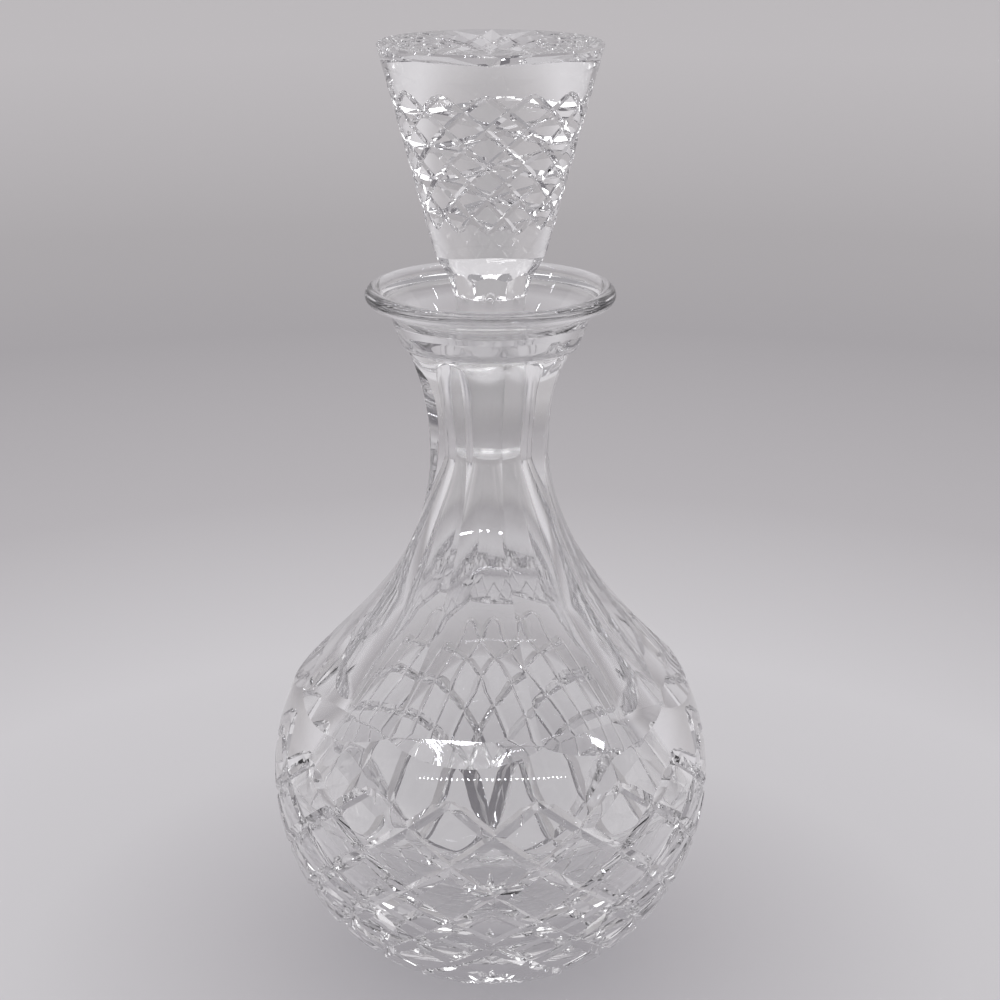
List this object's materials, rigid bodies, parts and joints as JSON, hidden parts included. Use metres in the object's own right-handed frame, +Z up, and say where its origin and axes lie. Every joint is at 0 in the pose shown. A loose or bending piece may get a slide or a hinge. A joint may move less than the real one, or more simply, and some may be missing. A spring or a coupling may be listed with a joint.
{
  "type": "crystal decanter",
  "caption": "Cut crystal decanter with a ball-shaped bowl, fluted neck, flared lip and a tall conical stopper that lifts out of its ground socket.",
  "frame": {"origin": "centre of the flat base, on the surface that the decanter stands on", "axes": "+Z up along the axis of bowl, neck and stopper; -Y faces the viewer and +X is to the viewer's right"},
  "size_m": [0.135, 0.135, 0.2855],
  "materials": {
    "body_crystal": "clear lead crystal, cut and acid polished, ground flat under the base and inside the socket",
    "stopper_crystal": "clear lead crystal, cut and polished, with a ground peg"
  },
  "bodies": {
    "decanter": {"decanter_body": "body_crystal"},
    "stopper": {"stopper": "stopper_crystal"}
  },
  "joints": [
    {"name": "stopper_lift", "type": "slide", "parent": "decanter", "child": "stopper", "axis": [0, 0, 1], "range_m": [0, 0.056]}
  ]
}
